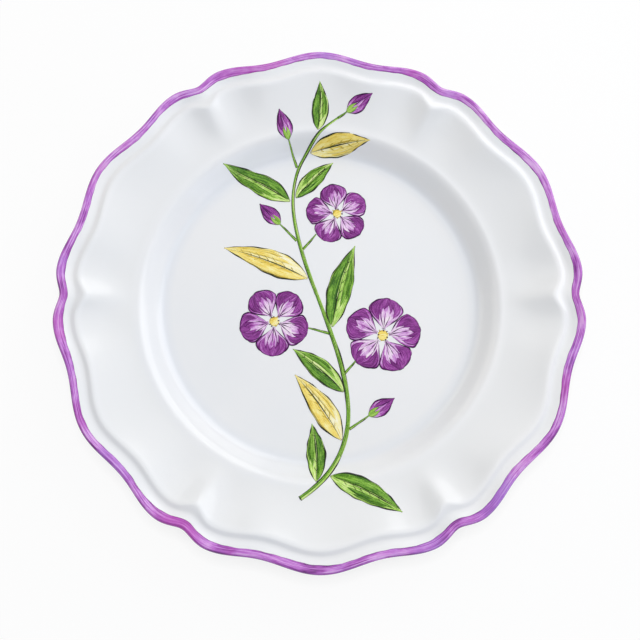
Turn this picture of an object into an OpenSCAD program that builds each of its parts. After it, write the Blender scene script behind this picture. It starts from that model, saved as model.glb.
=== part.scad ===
// Scalloped dinner plate in glazed earthenware.
// The plate is one fired piece: a flat well, a steep verge, a hollow-curved rim with a rib and
// two flutes at every notch, a crest with a channel outside it, and a rounded lip on a lobed outline.
// On its glaze lie four painted coats: the brushed band over the lip, and the green, purple and
// yellow strokes of a flower spray that runs in a lazy S across the well and up on to the rim.
// Millimetres, +Z up, origin at the centre of the foot's standing face.

/* [Outline] */
// Width across two opposite crowns, paint included
plate_d = 280; // [240:1:340]
// Number of lobes round the rim
lobes = 6; // [5:1:8]
// Depth of the notch between two lobes, in from the circle of the crowns
notch_depth = 3.4; // [1:0.1:6]
// Length along the outline over which the corner of a notch is rounded
notch_soft = 3; // [1:0.1:5]
// Drop of the two shoulders beside a notch, in from the circle of the crowns
shoulder_drop = 0.2; // [0:0.1:1]
// Depth of the soft dip in each flank of a lobe, in from the circle of the crowns
dip_depth = 4; // [1:0.1:7]

/* [Well and verge] */
// Depth of the flat well below the top of the lip
well_depth = 22; // [18:0.5:26]
// Width in plan from the outline in to the flat well, measured to the middle of its corner
border_w = 53; // [46:0.5:60]
// Width in plan of the steep verge between the well and the rim
verge_w = 9; // [7:0.5:12]
// Width in plan of the soft corner at the head and at the foot of the verge
verge_corner = 5.5; // [3:0.5:7]
// Thickness of the floor
floor_t = 5.5; // [4:0.5:8]

/* [Rim] */
// Depth of the rim's inner end below the top of the lip
rim_depth = 11; // [8:0.1:13]
// Distance of the crest from the outline
crest_in = 11.1; // [10:0.1:14]
// Depth of the crest below the top of the lip
crest_drop = 1.7; // [1:0.1:2]
// Distance of the channel from the outline
channel_in = 8.3; // [7:0.1:9.5]
// Depth of the channel below the top of the lip
channel_drop = 2.4; // [2.1:0.1:3.2]
// Further step in of the crest at each notch
notch_pinch = 1.8; // [0:0.1:3]
// Height of the rib that runs in from each notch
rib_h = 0.2; // [0:0.1:1]
// Depth of the flute on each side of a rib
flute_depth = 1; // [0:0.1:2]
// Distance from the head of the verge over which the ribs and flutes rise to their full depth
rib_run = 17; // [8:1:20]

/* [Wall and lip] */
// Thickness of the wall at the head of the verge
wall_t = 5; // [4:0.5:7]
// Thickness of the lip
lip_t = 4; // [3:0.25:5]
// Depth in plan of the lip's rounded edge
lip_round = 1.6; // [1:0.1:2.5]

/* [Foot] */
// Distance of the foot ring's outer side in from the edge of the flat under face
foot_in = 4.5; // [1:0.5:12]
// Width of the foot ring
foot_w = 5; // [3:0.5:8]
// Height of the foot ring below the floor
foot_h = 2.5; // [1.5:0.5:5]
// Chamfer on the two edges of the foot ring
foot_chamfer = 0.8; // [0.3:0.1:1.2]

/* [Painted coats] */
// Thickness of each painted coat
coat_t = 0.2; // [0.1:0.05:0.4]
// Width of the band on the upper face of the lip
band_w = 4.2; // [3:0.1:5.5]
// Width of the band on the under face of the lip
band_under_w = 3; // [2.5:0.1:5]
// Distance of the spray's two ends in from the circle of the crowns
spray_in = 36; // [34:0.5:50]
// Width of the stem
stem_w = 2.6; // [1.5:0.1:3]
// Length of the longest leaf, as a share of the spray's length
leaf_len_share = 0.24; // [0.12:0.01:0.25]
// Width of the widest leaf, as a share of the spray's length
leaf_w_share = 0.067; // [0.03:0.001:0.068]
// Gap left between strokes that spring from one another
stroke_gap = 0.4; // [0.2:0.1:1]
// Clearance between a stroke and the curved glaze of the verge and rim
curve_gap = 0.2; // [0.15:0.01:0.3]
// Outer radius of the largest flower, as a share of the spray's length
flower_share = 0.101; // [0.06:0.001:0.102]
// Radius of a flower's centre, as a share of the flower's radius
centre_share = 0.143; // [0.08:0.001:0.16]
// Length of a bud, as a share of the spray's length
bud_len_share = 0.082; // [0.04:0.001:0.084]
// Width of a bud, as a share of its length
bud_w_share = 0.5; // [0.3:0.01:0.52]
// Width of the stalks that carry flowers and buds
stalk_w = 1.5; // [1:0.1:2]

/* [Hidden] */
overrun = 1;

// Outline, worked out from the notch of each lobe: s is the angle from the nearest notch
pitch = 360 / lobes;
half_lobe = pitch / 2;
shoulder_share = 0.2;
dip_share = 0.575;
crown_r = plate_d / 2 - coat_t;
notch_r = crown_r - notch_depth;
shoulder_r = crown_r - shoulder_drop;
dip_r = crown_r - dip_depth;
notch_soft_share = notch_soft / (crown_r * half_lobe * PI / 180);

// Heights
plate_h = foot_h + floor_t + well_depth;
verge_rise = well_depth - rim_depth;
under_rise = well_depth + floor_t - rim_depth - wall_t;

// Radii of the verge's foot and head, above and below
floor_r = (plate_d - verge_corner) / 2 - border_w;
head_r = floor_r + verge_w + verge_corner;
under_shift = wall_t / 2;
under_foot_r = floor_r + under_shift;
under_head_r = head_r + under_shift;
foot_r = under_foot_r - foot_in;

// Shapes of the curves, as shares and powers
rim_power = 1.4;
under_power = 1.3;
crest_soft_share = 0.06;
cove_share = 0.75;
pinch_share = 0.14;
flute_share = 0.235;
flute_end_share = 0.52;
under_rib_share = 0.6;
band_edge_share = 0.4;

// Rings of the body's skin, from the well out over the lip and back to the foot
corner_shares = [0, 1 / 3, 2 / 3, 1];
rim_rings = 7;
rim_crowding = 1.3;
rim_shares = [for (i = [1 : rim_rings]) pow(1 - i / rim_rings, rim_crowding)];
step_shares = [0.75, 0.5, 0.25, 0];
edge_angles = [45, 0, -45, -90];
under_rim_shares = [0.12, 0.3, 0.55, 0.8, 1];
under_corner_shares = [0.5, 1];

// Steps round one half of a lobe, closer together near the notch
half_steps = 8;
notch_crowding = 1.5;
lobe_angles = [for (i = [0 : 2 * half_steps - 1])
    i <= half_steps ? half_lobe * pow(i / half_steps, notch_crowding)
        : pitch - half_lobe * pow((2 * half_steps - i) / half_steps, notch_crowding)];
skin_angles = [for (k = [0 : lobes - 1]) for (a = lobe_angles) k * pitch + a];

// Spray: its stem is a curve on four points, given as shares of half its length
stem_shares = [[-0.1, -1], [0.66, -0.52], [-0.66, 0.52], [0.1, 1]];
// Leaves: place along the stem, side, length as a share of the longest, and angle off the stem
green_leaf_shares = [
    [0.045, 1, 0.6, 44], [0.075, -1, 0.8, 68], [0.29, 1, 0.72, 34], [0.44, -1, 0.96, 27],
    [0.765, -1, 0.6, 36], [0.755, 1, 0.84, 54], [0.95, 1, 0.52, 36]];
yellow_leaf_shares = [[0.165, 1, 0.86, 44], [0.56, 1, 1, 42], [0.905, -1, 0.68, 40]];
// Flowers: place along the stem, side, distance from it as a share of the largest flower's
// radius, own radius as such a share, and turn of the petals
flower_shares = [[0.335, -1, 1.42, 1, 10], [0.43, 1, 1.5, 0.92, 50], [0.63, -1, 1.38, 0.84, 28]];
// Buds: place along the stem, side, stalk's length as a share of the bud's, and angle off the
// stem; the last one carries the stem on past its tip
bud_shares = [[0.655, 1, 0.7, 30], [0.2, -1, 0.65, 48], [0.855, 1, 0.75, 40], [1, 0, 0.2, 0]];
petals = 5;
leaf_curl = 16;
stalk_spread = 60;
leaf_slim_share = 0.3;
petal_width_share = 0.76;

// Widths of the strokes at their ends, as shares, and the powers that place their widest parts
leaf_end_share = 0.07;
petal_end_share = 0.12;
stem_taper_share = 0.5;
leaf_base_power = 0.8;
petal_tip_power = 1.45;
petal_round_power = 0.75;

// Steps along the strokes
stem_steps = 90;
leaf_steps = 8;
crossing_steps = 16;
petal_steps = 6;
stalk_steps = 4;

// Facets of the round pieces
ring_facets = 180;
dab_facets = 48;

function clamp_share(x) = max(0, min(1, x));
function ease(x) = let (u = clamp_share(x)) u * u * (3 - 2 * u);
function cosine_blend(a, b, x) = a + (b - a) * (1 - cos(180 * clamp_share(x))) / 2;
function from_notch(angle) = let (a = (angle % pitch + pitch) % pitch) min(a, pitch - a);

// Radius of the lobed outline
function rounded(u) = let (e = notch_soft_share) sqrt(u * u + e * e) - e;
function outline_r(s) =
    let (u = s / half_lobe)
    u < shoulder_share
        ? notch_r + (shoulder_r - notch_r) * sin(90 * rounded(u) / rounded(shoulder_share))
        : u < dip_share
            ? cosine_blend(shoulder_r, dip_r, (u - shoulder_share) / (dip_share - shoulder_share))
            : cosine_blend(dip_r, crown_r, (u - dip_share) / (1 - dip_share));
function crest_inset(s) = crest_in + notch_pinch * (1 - ease(s / half_lobe / pinch_share));

// Rise of a slope with a soft corner at each end
function slope_rise(x, width, corner, rise) =
    let (steepness = rise / width, run = width + corner)
    x <= 0 ? 0
        : x < corner ? steepness * x * x / (2 * corner)
        : x < run - corner ? steepness * (x - corner / 2)
        : x < run ? rise - steepness * (run - x) * (run - x) / (2 * corner)
        : rise;

// Ribs and flutes: height at the angle s, and how much of it is left at a radius
function rib(s) =
    let (u = s / half_lobe)
    u < flute_share ? cosine_blend(rib_h, -flute_depth, u / flute_share)
        : cosine_blend(-flute_depth, 0, (u - flute_share) / (flute_end_share - flute_share));
function rib_fade(r, s) = ease((r - head_r) / rib_run) * ease((outline_r(s) - r) / crest_in);

// Depth of the rim's hollow curve, from the crest (0) to the head of the verge (1)
function rim_curve(w) =
    let (e = crest_soft_share, u = w < e ? w * w / (2 * e) : w - e / 2)
    1 - pow(max(0, 1 - u / (1 - e / 2)), rim_power);

// Fall of the lip's inner face, from its edge (0) to the channel (1): straight up to a share of
// its width, and from there on curving level
function cove(t) =
    let (k = cove_share, bend = max(0, t - k))
    (t - bend * bend / (2 * (1 - k))) * 2 / (1 + k);

// Height of the plate's upper face
function upper_z(r, s) =
    let (inset = outline_r(s) - r, crest = crest_inset(s), crest_r = outline_r(s) - crest)
    plate_h + rib(s) * rib_fade(r, s) - (
        r <= head_r ? well_depth - slope_rise(r - floor_r, verge_w, verge_corner, verge_rise)
        : r <= crest_r
            ? crest_drop + (rim_depth - crest_drop) * rim_curve((crest_r - r) / (crest_r - head_r))
        : inset >= channel_in
            ? channel_drop + (crest_drop - channel_drop) * ease((inset - channel_in) / (crest - channel_in))
        : channel_drop * cove(max(0, inset - lip_round) / (channel_in - lip_round)));
function upper_z_at(p) = upper_z(norm(p), from_notch(atan2(p[1], p[0])));

// Height of the plate's under face
function under_z(r, s) =
    let (start_r = outline_r(s) - lip_round, w = clamp_share((start_r - r) / (start_r - under_head_r)))
    plate_h + under_rib_share * rib(s) * rib_fade(r, s) - (
        r >= under_head_r ? lip_t + (rim_depth + wall_t - lip_t) * (1 - pow(1 - w, under_power))
        : well_depth + floor_t - slope_rise(r - under_foot_r, verge_w, verge_corner, under_rise));

// Section of the plate at the angle s, as [radius, height] points
function section(s) =
    let (
        outline = outline_r(s),
        crest = crest_inset(s),
        crest_r = outline - crest,
        start_r = outline - lip_round,
        verge = concat(
            [for (c = corner_shares) floor_r + c * verge_corner],
            [for (c = corner_shares) head_r - verge_corner + c * verge_corner]),
        rim = [for (w = rim_shares) crest_r - w * (crest_r - head_r)],
        step = [for (u = step_shares) outline - channel_in - u * (crest - channel_in)],
        lip = [outline - (channel_in + band_w) / 2, outline - band_w, start_r],
        under = concat(
            [outline - band_under_w],
            [for (w = under_rim_shares)
                outline - band_under_w - w * (outline - band_under_w - under_head_r)],
            [for (c = under_corner_shares) under_head_r - c * verge_corner],
            [for (c = under_corner_shares) under_foot_r + (1 - c) * verge_corner]))
    concat(
        [for (r = concat(verge, rim, step, lip)) [r, upper_z(r, s)]],
        [for (a = edge_angles)
            [outline - lip_round * (1 - cos(a)), plate_h - lip_t / 2 * (1 - sin(a))]],
        [for (r = under) [r, under_z(r, s)]]);

// Ring numbers of the band's first and last rings, counted along the section
verge_rings = 2 * len(corner_shares);
band_first = verge_rings + len(rim_shares) + len(step_shares) + 1;
band_last = band_first + 1 + len(edge_angles) + 1;

// A coat's outer face: the section's points from first to last, pushed out by the coat
function coat_points(points, first, last) = [for (k = [first : last])
    let (
        along = points[k + 1] - points[k - 1],
        out = [-along[1], along[0]] / norm(along),
        thick = coat_t * (k == first || k == last ? band_edge_share : 1))
    points[k] + thick * out];
function band_section(s) =
    let (points = section(s))
    concat(
        coat_points(points, band_first, band_last),
        [for (k = [band_last : -1 : band_first]) points[k]]);

// Skin through one section for each angle; the sections are open or closed loops
function skin_points(sections) =
    let (steps = len(sections), rings = len(sections[0]))
    [for (k = [0 : rings - 1]) for (j = [0 : steps - 1])
        let (p = sections[j][k], a = skin_angles[j])
        [p[0] * cos(a), p[0] * sin(a), p[1]]];
function skin_faces(steps, rings, closed) =
    [for (k = [0 : closed ? rings - 1 : rings - 2]) for (j = [0 : steps - 1])
        let (
            next_k = (k + 1) % rings,
            next_j = (j + 1) % steps,
            a = k * steps + j,
            b = k * steps + next_j,
            c = next_k * steps + next_j,
            d = next_k * steps + j)
        for (face = closed ? [[a, b, d], [b, c, d]] : [[a, b, c], [a, c, d]]) face];
function cap_faces(steps, rings) = [
    [for (j = [steps - 1 : -1 : 0]) j],
    [for (j = [0 : steps - 1]) (rings - 1) * steps + j]];

// Foot ring, turned, with its root sunk in the floor
module foot_ring() {
    rotate_extrude($fn = ring_facets)
        polygon([
            [foot_r - foot_w, foot_h + overrun],
            [foot_r - foot_w, foot_chamfer],
            [foot_r - foot_w + foot_chamfer, 0],
            [foot_r - foot_chamfer, 0],
            [foot_r, foot_chamfer],
            [foot_r, foot_h + overrun]]);
}

// Fired and glazed body with its foot ring
module plate_body() {
    sections = [for (a = skin_angles) section(from_notch(a))];
    steps = len(sections);
    rings = len(sections[0]);
    color("whitesmoke")
        union() {
            polyhedron(
                points = skin_points(sections),
                faces = concat(skin_faces(steps, rings, false), cap_faces(steps, rings)),
                convexity = 6);
            foot_ring();
        }
}

// Brushed band, lying on the lip's upper face, its edge and its under face
module rim_band() {
    sections = [for (a = skin_angles) band_section(from_notch(a))];
    color("mediumorchid")
        polyhedron(
            points = skin_points(sections),
            faces = skin_faces(len(sections), len(sections[0]), true),
            convexity = 6);
}

// Sizes and paths of the spray
spray_half = plate_d / 2 - spray_in;
leaf_len = 2 * spray_half * leaf_len_share;
leaf_w = 2 * spray_half * leaf_w_share;
flower_r = 2 * spray_half * flower_share;
centre_r = flower_r * centre_share;
bud_len = 2 * spray_half * bud_len_share;
bud_w = bud_len * bud_w_share;
stem_points = [for (p = stem_shares) p * spray_half];
function stem_at(t) =
    let (p = stem_points, u = 1 - t)
    u * u * u * p[0] + 3 * u * u * t * p[1] + 3 * u * t * t * p[2] + t * t * t * p[3];
function stem_angle(t) =
    let (
        p = stem_points,
        u = 1 - t,
        d = u * u * (p[1] - p[0]) + 2 * u * t * (p[2] - p[1]) + t * t * (p[3] - p[2]))
    atan2(d[1], d[0]);
function direction(angle) = [cos(angle), sin(angle)];

// A curved path from a point, turning steadily from one angle by the curl
function curl_path(start, angle, curl, length, steps) =
    let (
        stride = length / steps,
        turns = [for (i = [0 : steps - 1]) direction(angle + curl * (i + 1 / 2) / steps)],
        sums = [for (i = 0, sum = [0, 0]; i <= steps; sum = sum + (i < steps ? turns[i] : [0, 0]),
            i = i + 1) sum])
    [for (sum = sums) start + stride * sum];

// Whether a path runs over the curved glaze outside the well
function leaves_well(path) = max([for (p = path) norm(p)]) > floor_r + verge_corner / 2;

// Widths of a stroke along its length, as shares of its greatest half width
function leaf_profile(steps) = [for (i = [0 : steps])
    max(leaf_end_share, sin(180 * pow(i / steps, leaf_base_power)))];
function petal_profile(steps) = [for (i = [0 : steps])
    max(petal_end_share, pow(sin(180 * pow(i / steps, petal_tip_power)), petal_round_power))];
function stem_profile(steps) = [for (i = [0 : steps]) 1 - stem_taper_share * i / steps];

// Height of a stroke's lower face: on the flat well, and just clear of the curved glaze
function stroke_z(p) = upper_z_at(p) + curve_gap * ease((norm(p) - floor_r) / verge_corner);

// One painted stroke: a thin coat that follows the plate's upper face along a path, in two
// columns if it is slim, in three if it is wide, and in five if it is wide and on curved glaze
slim = [1, -1];
wide = [1, 0, -1];
wide_on_curve = [1, 0.5, 0, -0.5, -1];
module stroke(path, half_width, profile, sides = wide) {
    steps = len(path) - 1;
    columns = len(sides);
    plan = [for (i = [0 : steps])
        let (
            along = path[min(i + 1, steps)] - path[max(i - 1, 0)],
            across = [-along[1], along[0]] / norm(along))
        for (side = sides) path[i] + side * half_width * profile[i] * across];
    lower = [for (p = plan) [p[0], p[1], stroke_z(p)]];
    upper = [for (p = lower) p + [0, 0, coat_t]];
    total = len(plan);
    last_row = steps * columns;
    face_rows = [for (i = [0 : steps - 1]) for (c = [0 : columns - 2])
        let (a = i * columns + c, b = a + 1, d = a + columns, e = d + 1)
        for (face = [
            [total + a, total + d, total + e], [total + a, total + e, total + b],
            [a, e, d], [a, b, e]]) face];
    left_rows = [for (i = [0 : steps - 1])
        let (a = i * columns, d = a + columns)
        for (face = [[a, d, total + d], [a, total + d, total + a]]) face];
    right_rows = [for (i = [0 : steps - 1])
        let (a = i * columns + columns - 1, d = a + columns)
        for (face = [[d, a, total + a], [d, total + a, total + d]]) face];
    ends = [for (c = [0 : columns - 2])
        for (face = [
            [c + 1, c, total + c], [c + 1, total + c, total + c + 1],
            [last_row + c, last_row + c + 1, total + last_row + c + 1],
            [last_row + c, total + last_row + c + 1, total + last_row + c]]) face];
    polyhedron(points = concat(lower, upper), faces = concat(face_rows, left_rows, right_rows, ends));
}

// Start of what springs from the stem at a place, clear of the stem's edge
function off_stem(t, side) =
    stem_at(t) + (stem_w / 2 + stroke_gap) * direction(stem_angle(t) + side * 90);

// Leaves of one colour; a short leaf is a little wider for its length than a long one
module leaves(shares) {
    for (leaf = shares) {
        side = leaf[1];
        angle = stem_angle(leaf[0]) + side * leaf[3];
        width = leaf_w * (leaf_slim_share + (1 - leaf_slim_share) * leaf[2]);
        start = off_stem(leaf[0], side);
        length = leaf[2] * leaf_len;
        curved = leaves_well(curl_path(start, angle, side * leaf_curl, length, leaf_steps));
        steps = curved ? crossing_steps : leaf_steps;
        path = curl_path(start, angle, side * leaf_curl, length, steps);
        stroke(path, width / 2, leaf_profile(steps), curved ? wide_on_curve : wide);
    }
}

// Centre of a flower, and the stalk from the stem to just short of its petals
function flower_at(flower) =
    stem_at(flower[0]) + flower[2] * flower_r
        * direction(stem_angle(flower[0]) + flower[1] * stalk_spread);
module flower_stalks() {
    for (flower = flower_shares) {
        angle = stem_angle(flower[0]) + flower[1] * stalk_spread;
        start = off_stem(flower[0], flower[1]);
        end = flower_at(flower) - (flower_r * flower[3] + stroke_gap) * direction(angle);
        path = [for (i = [0 : stalk_steps]) start + (end - start) * i / stalk_steps];
        stroke(path, stalk_w / 2, stem_profile(stalk_steps), slim);
    }
}

// Angle at which a bud leaves the stem
function bud_angle(bud) = stem_angle(bud[0]) + bud[1] * bud[3];
module bud_stalks() {
    for (bud = bud_shares) {
        path = curl_path(off_stem(bud[0], bud[1]), bud_angle(bud), 0, bud[2] * bud_len, stalk_steps);
        stroke(path, stalk_w / 2, stem_profile(stalk_steps), slim);
    }
}

// Green strokes: the stem, its leaves and the stalks
module leaf_coat() {
    color("olivedrab") {
        stroke(
            [for (i = [0 : stem_steps]) stem_at(i / stem_steps)],
            stem_w / 2, stem_profile(stem_steps), slim);
        leaves(green_leaf_shares);
        flower_stalks();
        bud_stalks();
    }
}

// Purple strokes: five petals round each flower's centre, and the buds
module petal_coat() {
    color("darkorchid") {
        for (flower = flower_shares)
            for (k = [0 : petals - 1]) {
                angle = flower[4] + k * 360 / petals;
                start_r = centre_r * flower[3] + stroke_gap;
                length = flower_r * flower[3] - start_r;
                path = curl_path(
                    flower_at(flower) + start_r * direction(angle), angle, 0, length, petal_steps);
                width = petal_width_share * flower_r * flower[3] * sin(180 / petals);
                stroke(path, width, petal_profile(petal_steps));
            }
        for (bud = bud_shares) {
            angle = bud_angle(bud);
            start = off_stem(bud[0], bud[1]) + (bud[2] * bud_len + stroke_gap) * direction(angle);
            path = curl_path(start, angle, 0, bud_len, petal_steps);
            stroke(path, bud_w / 2, leaf_profile(petal_steps), leaves_well(path) ? wide_on_curve : wide);
        }
    }
}

// Yellow strokes: three leaves that have turned, and a dab at each flower's centre
module yellow_coat() {
    color("khaki") {
        leaves(yellow_leaf_shares);
        for (flower = flower_shares)
            translate(concat(flower_at(flower), [upper_z_at(flower_at(flower))]))
                cylinder(h = coat_t, r = centre_r * flower[3], $fn = dab_facets);
    }
}

plate_body();
rim_band();
leaf_coat();
petal_coat();
yellow_coat();
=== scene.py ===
import math

import bpy
import numpy as np
from mathutils import Matrix, Vector


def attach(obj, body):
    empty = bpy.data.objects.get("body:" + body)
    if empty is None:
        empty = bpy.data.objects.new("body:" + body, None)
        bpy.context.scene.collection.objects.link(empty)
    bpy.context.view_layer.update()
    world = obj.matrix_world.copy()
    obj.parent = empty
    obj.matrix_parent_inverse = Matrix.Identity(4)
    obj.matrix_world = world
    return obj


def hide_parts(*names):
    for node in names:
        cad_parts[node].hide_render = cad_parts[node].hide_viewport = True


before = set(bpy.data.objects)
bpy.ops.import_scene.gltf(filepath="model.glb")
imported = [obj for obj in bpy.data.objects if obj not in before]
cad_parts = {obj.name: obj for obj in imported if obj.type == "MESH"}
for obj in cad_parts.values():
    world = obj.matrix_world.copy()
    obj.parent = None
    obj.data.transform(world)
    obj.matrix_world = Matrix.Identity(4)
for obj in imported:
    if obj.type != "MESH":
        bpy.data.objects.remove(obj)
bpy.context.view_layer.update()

# Scalloped dinner plate in white glaze, with a brushed purple band and a painted flower spray.
# Lengths are in millimetres until a mesh is made, and in metres from there on.
MM = 0.001
BODY = "root"

# Form of the plate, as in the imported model
LOBES = 6
PITCH = 360 / LOBES
HALF_LOBE = PITCH / 2
PLATE_D, BORDER_W, COAT_T = 280, 53, 0.2
NOTCH_DEPTH, SHOULDER_DROP, DIP_DEPTH = 3.4, 0.2, 4
CROWN_R = PLATE_D / 2 - COAT_T
NOTCH_R = CROWN_R - NOTCH_DEPTH
SHOULDER_R = CROWN_R - SHOULDER_DROP
DIP_R = CROWN_R - DIP_DEPTH
SHOULDER_SHARE, DIP_SHARE = 0.2, 0.575
NOTCH_SOFT_W = 3
NOTCH_SOFT = NOTCH_SOFT_W / (CROWN_R * math.radians(HALF_LOBE))
WELL_DEPTH, FLOOR_T, FOOT_H = 22, 5.5, 2.5
PLATE_H = WELL_DEPTH + FLOOR_T + FOOT_H
VERGE_W, VERGE_CORNER = 9, 5.5
FLOOR_R = (PLATE_D - VERGE_CORNER) / 2 - BORDER_W
HEAD_R = FLOOR_R + VERGE_W + VERGE_CORNER
RIM_DEPTH, RIM_POWER, CREST_SOFT = 11, 1.4, 0.06
CREST_IN, CREST_DROP, PINCH, PINCH_SHARE = 11.1, 1.7, 1.8, 0.14
CHANNEL_IN, CHANNEL_DROP, COVE_SHARE = 8.3, 2.4, 0.75
RIB_H, FLUTE_DEPTH, FLUTE_SHARE, FLUTE_END = 0.2, 1, 0.235, 0.52
RIB_RUN, UNDER_RIB_SHARE = 17, 0.6
WALL_T, LIP_T, LIP_ROUND, UNDER_POWER = 5, 4, 1.6, 1.3
UNDER_FOOT_R = FLOOR_R + WALL_T / 2
UNDER_HEAD_R = HEAD_R + WALL_T / 2
FOOT_IN, FOOT_W, FOOT_CHAMFER = 4.5, 5, 0.8
FOOT_R = UNDER_FOOT_R - FOOT_IN
BAND_W, BAND_UNDER_W = 4.2, 3
# Angles at which the lip's rounded edge is drawn, from its upper side to its under side
LIP_ANGLES = np.radians(np.linspace(75, -90, 12))
# Hand finish, which only the scene has
WAVER_H, WAVER_FADE = 0.05, 8
BAND_LIFT, BAND_BODY = 0.02, 0.06
BAND_SINK, BAND_SINK_ROUND = 0.1, 0.12
# The band's place across, which its streaks follow: travel per radian round the lip, and where the
# under face begins
LIP_TURN_W, UNDER_START = 1.8, 5.7
RECESS_DOME = 0.25

# Spray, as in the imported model
SPRAY_HALF = 104
STEM_POINTS = np.array([(-0.1, -1), (0.66, -0.52), (-0.66, 0.52), (0.1, 1)]) * SPRAY_HALF
STEM_W, STALK_W, STROKE_GAP = 2.6, 1.5, 0.4
LEAF_LEN, LEAF_W, LEAF_SLIM, LEAF_CURL = 49.92, 13.94, 0.3, 16
PETALS, FLOWER_R, CENTRE_R, PETAL_SHARE, STALK_SPREAD = 5, 21, 3, 0.76, 60
BUD_LEN, BUD_W = 17.06, 8.53
# Leaves: place along the stem, side, share of the full length, and degrees off the stem. Flowers:
# place, side, reach from the stem and size as shares of FLOWER_R, and bearing of the first petal.
# Buds: place, side, length of the stalk as a share of BUD_LEN, and degrees off the stem.
GREEN_LEAVES = [
    (0.045, 1, 0.6, 44), (0.075, -1, 0.8, 68), (0.29, 1, 0.72, 34), (0.44, -1, 0.96, 27),
    (0.765, -1, 0.6, 36), (0.755, 1, 0.84, 54), (0.95, 1, 0.52, 36)]
YELLOW_LEAVES = [(0.165, 1, 0.86, 44), (0.56, 1, 1, 42), (0.905, -1, 0.68, 40)]
FLOWERS = [(0.335, -1, 1.42, 1, 10), (0.43, 1, 1.5, 0.92, 50), (0.63, -1, 1.38, 0.84, 28)]
BUDS = [(0.655, 1, 0.7, 30), (0.2, -1, 0.65, 48), (0.855, 1, 0.75, 40), (1, 0, 0.2, 0)]
# How far a stalk reaches under the strokes at its ends
STALK_REACH, TIP_REACH, PETAL_REACH = 0.9, 2, 0.7

# Gloss of the glaze and of the paint under it, the least and most roughness of each, what bare clay
# adds to it, and how unevenly a wash dries
GLAZE_IOR, PAINT_SPECULAR = 1.5, 0.22
GLAZE_ROUGH, PAINT_ROUGH, BAND_ROUGH, CLAY_ROUGH = (0.13, 0.15), (0.15, 0.21), (0.17, 0.24), 0.65
WASH_SPREAD = 0.25

chance = np.random.RandomState(7)


def srgb(red, green, blue):
    """Linear colour of 8-bit screen values"""
    return tuple((c / 255 / 12.92) if c < 11 else ((c / 255 + 0.055) / 1.055) ** 2.4
                 for c in (red, green, blue)) + (1.0,)


def ease(x):
    """From 0 to 1 with level ends"""
    u = np.clip(x, 0, 1)
    return u * u * (3 - 2 * u)


def cosine_blend(a, b, x):
    """From a to b along half a cosine wave"""
    return a + (b - a) * (1 - np.cos(np.pi * np.clip(x, 0, 1))) / 2


def from_notch(degrees):
    """Degrees to the nearest notch"""
    a = np.mod(degrees, PITCH)
    return np.minimum(a, PITCH - a)


def rounded(u):
    """Share of the way from a notch, rounded off where it starts"""
    return np.sqrt(u * u + NOTCH_SOFT ** 2) - NOTCH_SOFT


def outline_r(s):
    """The outline's radius at s degrees from a notch"""
    u = s / HALF_LOBE
    climb = np.minimum(rounded(u) / rounded(SHOULDER_SHARE), 1)
    return np.where(
        u < SHOULDER_SHARE, NOTCH_R + (SHOULDER_R - NOTCH_R) * np.sin(np.pi / 2 * climb),
        np.where(
            u < DIP_SHARE,
            cosine_blend(SHOULDER_R, DIP_R, (u - SHOULDER_SHARE) / (DIP_SHARE - SHOULDER_SHARE)),
            cosine_blend(DIP_R, CROWN_R, (u - DIP_SHARE) / (1 - DIP_SHARE))))


def crest_inset(s):
    """The crest lies further in from the outline at a notch"""
    return CREST_IN + PINCH * (1 - ease(s / HALF_LOBE / PINCH_SHARE))


def slope_rise(x, rise):
    """Rise of the verge at x from its foot, with a soft corner at both ends"""
    steepness = rise / VERGE_W
    corner, run = VERGE_CORNER, VERGE_W + VERGE_CORNER
    return np.select(
        [x <= 0, x < corner, x < run - corner, x < run],
        [0 * x, steepness * x * x / (2 * corner), steepness * (x - corner / 2),
         rise - steepness * (run - x) ** 2 / (2 * corner)],
        rise)


def rib(s):
    """Height of the rib at a notch and depth of the flutes beside it"""
    u = s / HALF_LOBE
    return np.where(
        u < FLUTE_SHARE, cosine_blend(RIB_H, -FLUTE_DEPTH, u / FLUTE_SHARE),
        cosine_blend(-FLUTE_DEPTH, 0, (u - FLUTE_SHARE) / (FLUTE_END - FLUTE_SHARE)))


def rib_fade(r, s):
    return ease((r - HEAD_R) / RIB_RUN) * ease((outline_r(s) - r) / CREST_IN)


def rim_curve(w):
    """Fall of the hollow rim, from 0 at the crest to 1 at the verge"""
    e = CREST_SOFT
    u = np.where(w < e, w * w / (2 * e), w - e / 2)
    return 1 - np.maximum(0, 1 - u / (1 - e / 2)) ** RIM_POWER


def cove(t):
    """Fall of the lip's inner face, straight at first and level at the channel"""
    k = COVE_SHARE
    return (t - np.maximum(0, t - k) ** 2 / (2 * (1 - k))) * 2 / (1 + k)


def waver(x, y):
    """Slow unevenness of a hand-finished surface"""
    return WAVER_H * (
        np.sin(x / 31 + 0.6) * np.cos(y / 27 - 0.4) + 0.7 * np.sin((x + 1.3 * y) / 19 + 2.1)
        + 0.5 * np.sin((1.2 * x - y) / 14 + 1))


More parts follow.
